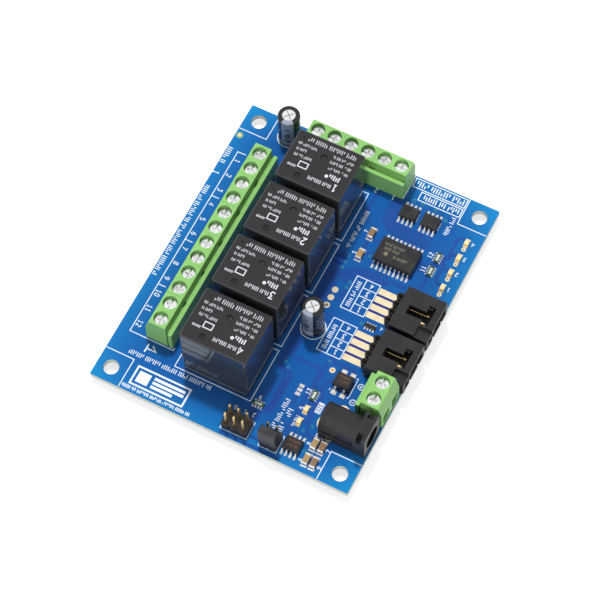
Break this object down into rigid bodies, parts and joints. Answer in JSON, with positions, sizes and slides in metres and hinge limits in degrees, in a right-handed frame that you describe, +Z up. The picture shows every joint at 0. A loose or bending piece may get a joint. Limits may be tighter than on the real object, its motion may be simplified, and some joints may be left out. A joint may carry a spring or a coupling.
{
  "type": "relay module board",
  "caption": "Circuit board with sealed power relays, screw terminals along two edges, bus connectors, a barrel power jack, pin headers and surface-mount parts",
  "frame": {"origin": "centre of the four mounting holes, on the underside of the circuit board", "axes": "+Z up out of the component side, +Y along the board's long side towards the input terminals, +X towards the edge with the power jack and the bus connectors"},
  "size_m": [0.0766, 0.0926, 0.0241],
  "materials": {
    "board_mask": "glossy blue solder mask over glass-fibre laminate",
    "gold_plate": "bright gold plating",
    "solder": "bright solder",
    "screw_plate": "bright zinc plating",
    "nickel_plate": "nickel plating",
    "tin_plate": "tin plating",
    "relay_iron": "plated soft iron",
    "bobbin_plastic": "natural moulded plastic",
    "copper_wire": "enamelled copper wire",
    "contact_brass": "bright brass",
    "black_plastic": "fine-grained black moulded plastic",
    "relay_black": "glossy black sides with a satin top",
    "terminal_green": "satin light green moulded plastic",
    "chip_body": "matt black moulding compound",
    "ceramic_tan": "satin tan ceramic",
    "array_body": "white ceramic under a dark green coat",
    "light_lens": "pale clear resin",
    "bare_aluminium": "satin bare aluminium",
    "sleeve_black": "shrunk glossy black sleeve"
  },
  "bodies": {
    "board": {"circuit_board": "board_mask", "exposed_pads": "gold_plate", "solder_joints": "solder", "terminal_screws": "screw_plate", "terminal_cages": "nickel_plate", "terminal_tongues": "tin_plate", "relay_yokes": "relay_iron", "relay_cores": "relay_iron", "relay_bobbins": "bobbin_plastic", "relay_windings": "copper_wire", "relay_fixed_contacts": "contact_brass", "relay_coil_pins": "tin_plate", "capacitor_leads": "tin_plate", "jack_housing": "black_plastic", "jack_center_pin": "nickel_plate", "jack_contacts": "contact_brass", "bus_pins": "gold_plate", "address_header": "black_plastic", "pullup_header": "black_plastic", "header_pins": "gold_plate", "jumper_shunt": "black_plastic", "jumper_clip": "contact_brass", "expander_chip": "chip_body", "chip_leads": "tin_plate", "bridge_rectifier": "chip_body", "ceramic_capacitors": "ceramic_tan", "resistor_arrays": "array_body", "indicator_lights": "light_lens", "component_ends": "tin_plate", "relay_terminal_1": "terminal_green", "relay_terminal_2": "terminal_green", "relay_terminal_3": "terminal_green", "relay_terminal_4": "terminal_green", "relay_terminal_5": "terminal_green", "relay_terminal_6": "terminal_green", "input_terminal_1": "terminal_green", "small_chip_1": "chip_body", "input_terminal_2": "terminal_green", "small_chip_2": "chip_body", "input_terminal_3": "terminal_green", "small_chip_3": "chip_body", "power_terminal": "terminal_green", "relay_cover_1": "relay_black", "relay_base_1": "relay_black", "relay_cover_2": "relay_black", "relay_base_2": "relay_black", "relay_cover_3": "relay_black", "relay_base_3": "relay_black", "relay_cover_4": "relay_black", "relay_base_4": "relay_black", "capacitor_can_1": "bare_aluminium", "capacitor_sleeve_1": "sleeve_black", "bus_connector_1": "black_plastic", "capacitor_can_2": "bare_aluminium", "capacitor_sleeve_2": "sleeve_black", "bus_connector_2": "black_plastic"},
    "armature_1": {"relay_armature_1": "relay_iron"},
    "armature_2": {"relay_armature_2": "relay_iron"},
    "armature_3": {"relay_armature_3": "relay_iron"},
    "armature_4": {"relay_armature_4": "relay_iron"}
  },
  "joints": [
    {"name": "armature_hinge_1", "type": "hinge", "parent": "board", "child": "armature_1", "pos_m": [-0.0145, 0.0271, 0.01575], "axis": [0, 1, 0], "range_deg": [0, 3], "stiffness_Nm_per_rad": 0.002, "springref_deg": -11.46},
    {"name": "armature_hinge_2", "type": "hinge", "parent": "board", "child": "armature_2", "pos_m": [-0.0145, 0.00932, 0.01575], "axis": [0, 1, 0], "range_deg": [0, 3], "stiffness_Nm_per_rad": 0.002, "springref_deg": -11.46},
    {"name": "armature_hinge_3", "type": "hinge", "parent": "board", "child": "armature_3", "pos_m": [-0.0145, -0.00846, 0.01575], "axis": [0, 1, 0], "range_deg": [0, 3], "stiffness_Nm_per_rad": 0.002, "springref_deg": -11.46},
    {"name": "armature_hinge_4", "type": "hinge", "parent": "board", "child": "armature_4", "pos_m": [-0.0145, -0.02624, 0.01575], "axis": [0, 1, 0], "range_deg": [0, 3], "stiffness_Nm_per_rad": 0.002, "springref_deg": -11.46}
  ]
}
